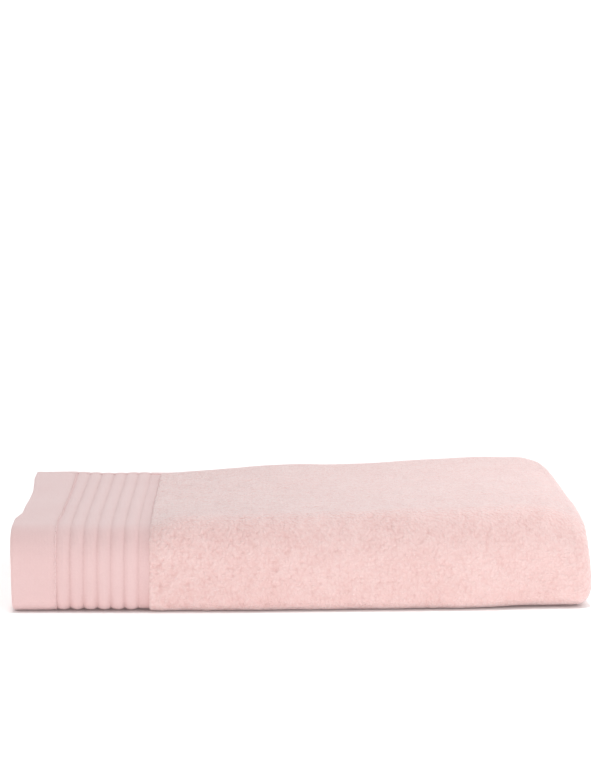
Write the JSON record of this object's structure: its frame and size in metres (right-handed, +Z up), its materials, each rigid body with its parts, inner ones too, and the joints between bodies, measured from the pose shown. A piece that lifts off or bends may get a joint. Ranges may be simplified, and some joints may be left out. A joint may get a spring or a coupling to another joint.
{
  "type": "folded bath towel",
  "caption": "Folded terry bath towel with ribbed woven borders, turned hems and a top flap that unrolls over its front bend.",
  "frame": {"origin": "centre of the folded pack's footprint, on the surface it rests on", "axes": "+X along the folded length towards the end with the crosswise bends, -Y towards the front bend, +Z up"},
  "size_m": [0.35, 0.25, 0.0582],
  "materials": {
    "terry_pile": "looped cotton pile",
    "woven_border": "flat woven, ribbed",
    "woven_hem": "flat woven, turned",
    "thread": "matt sewing thread",
    "label_tape": "smooth woven tape",
    "loop_tape": "twill tape"
  },
  "bodies": {
    "base": {"terry_base": "terry_pile", "outer_border_base": "woven_border", "outer_end_seam_base": "thread", "outer_end_hem_base": "woven_hem", "inner_border_base": "woven_border", "inner_end_seam_base": "thread", "inner_end_hem_base": "woven_hem", "inner_side_hem": "woven_hem", "inner_side_seam": "thread"},
    "front_fold": {"terry_front_fold": "terry_pile", "outer_border_front_fold": "woven_border", "outer_end_seam_front_fold": "thread", "outer_end_hem_front_fold": "woven_hem", "inner_border_front_fold": "woven_border", "inner_end_seam_front_fold": "thread", "inner_end_hem_front_fold": "woven_hem"},
    "flap": {"terry_flap": "terry_pile", "outer_border_flap": "woven_border", "outer_end_seam_flap": "thread", "outer_end_hem_flap": "woven_hem", "inner_border_flap": "woven_border", "inner_end_seam_flap": "thread", "inner_end_hem_flap": "woven_hem", "rear_side_hem": "woven_hem", "rear_side_seam": "thread", "care_label": "label_tape", "hanging_loop": "loop_tape"}
  },
  "joints": [
    {"name": "front_unroll", "type": "hinge", "parent": "base", "child": "front_fold", "pos_m": [0, -0.11123, 0.01377], "axis": [1, 0, 0], "range_deg": [0, 90], "deforming": ["terry_front_fold", "outer_border_front_fold", "outer_end_seam_front_fold", "outer_end_hem_front_fold", "inner_border_front_fold", "inner_end_seam_front_fold", "inner_end_hem_front_fold"]},
    {"name": "flap_unroll", "type": "hinge", "parent": "front_fold", "child": "flap", "pos_m": [0, -0.11123, 0.04448], "axis": [1, 0, 0], "range_deg": [0, 90]}
  ],
  "couplings": [
    {"joint": "front_unroll", "follows": "flap_unroll", "ratio": 1}
  ]
}
